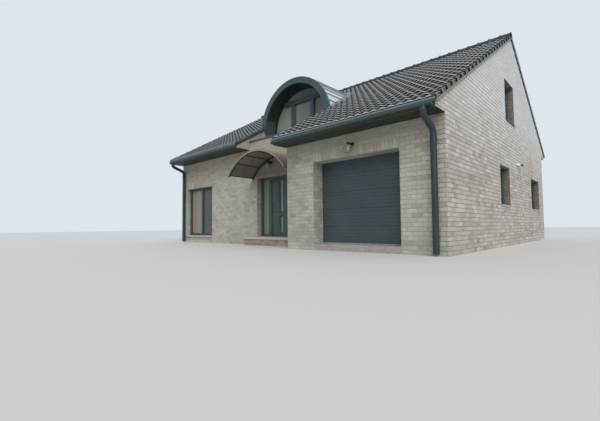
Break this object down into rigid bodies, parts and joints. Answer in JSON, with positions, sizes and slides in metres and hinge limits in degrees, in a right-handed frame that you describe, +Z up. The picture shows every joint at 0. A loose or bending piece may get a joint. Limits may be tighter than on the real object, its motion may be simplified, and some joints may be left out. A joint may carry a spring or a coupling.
{
  "type": "detached house",
  "caption": "Detached brick house with an attic, tiled roof, arched dormer over a balcony, curved entrance canopy, hinged front door and a garage block standing forward.",
  "frame": {"origin": "on the ground, under the middle of the main block, on the underside of the house floor", "axes": "+X to the right along the front, +Y from the front to the rear, +Z up"},
  "size_m": [12.74, 12.4806, 7.1031],
  "materials": {
    "brick": "matt facing brick in pale grey, cream and pink",
    "concrete": "cast concrete",
    "stone": "honed stone",
    "roof_tile": "glazed charcoal clay tile",
    "dark_paint": "dark blue grey coating",
    "zinc": "weathered zinc sheet",
    "canopy_plastic": "bronze translucent sheet",
    "frame_paint": "dark blue grey coating",
    "door_steel": "dark coated steel with fine ribs",
    "glass": "clear window glass",
    "globe_glass": "clear globe",
    "brushed": "brushed",
    "white_paint": "white coating"
  },
  "bodies": {
    "house": {"attic_floor": "concrete", "balcony_cheek_wall": "brick", "balcony_parapet": "brick", "canopy_frame": "dark_paint", "canopy_sheet": "canopy_plastic", "dormer_fascia": "dark_paint", "dormer_roof": "zinc", "dormer_window_frame": "frame_paint", "dormer_window_glass": "glass", "entrance_frame": "frame_paint", "entrance_lamp_arm": "dark_paint", "entrance_lamp_globe": "globe_glass", "entrance_left_wall": "brick", "entrance_right_wall": "brick", "entrance_step": "stone", "front_roof": "roof_tile", "front_side_window_frame": "frame_paint", "front_side_window_glass": "glass", "front_window_frame": "frame_paint", "front_window_glass": "glass", "front_window_sill": "stone", "garage_door": "door_steel", "garage_downpipe": "dark_paint", "garage_eaves": "dark_paint", "garage_floor": "concrete", "garage_front_wall": "brick", "garage_gutter": "dark_paint", "garage_lamp_arm": "dark_paint", "garage_lamp_globe": "globe_glass", "garage_side_wall": "brick", "house_floor": "concrete", "left_attic_window_frame": "frame_paint", "left_attic_window_glass": "glass", "left_downpipe": "dark_paint", "left_eaves": "dark_paint", "left_front_wall": "brick", "left_gable_wall": "brick", "left_gutter": "dark_paint", "rear_downpipe": "dark_paint", "rear_eaves": "dark_paint", "rear_gutter": "dark_paint", "rear_left_window_frame": "frame_paint", "rear_left_window_glass": "glass", "rear_right_window_frame": "frame_paint", "rear_right_window_glass": "glass", "rear_roof": "roof_tile", "rear_side_window_frame": "frame_paint", "rear_side_window_glass": "glass", "rear_wall": "brick", "ridge_tiles": "roof_tile", "right_gable_wall": "brick", "side_flood_light": "white_paint", "sidelight_glass": "glass", "upper_side_window_frame": "frame_paint", "upper_side_window_glass": "glass"},
    "entrance_door": {"front_door": "frame_paint", "front_door_glass": "glass", "front_door_handle": "brushed"}
  },
  "joints": [
    {"name": "front_door_swing", "type": "hinge", "parent": "house", "child": "entrance_door", "pos_m": [0.5657, -4.707, 1.3], "axis": [0, 0, -1], "range_deg": [0, 90]}
  ]
}
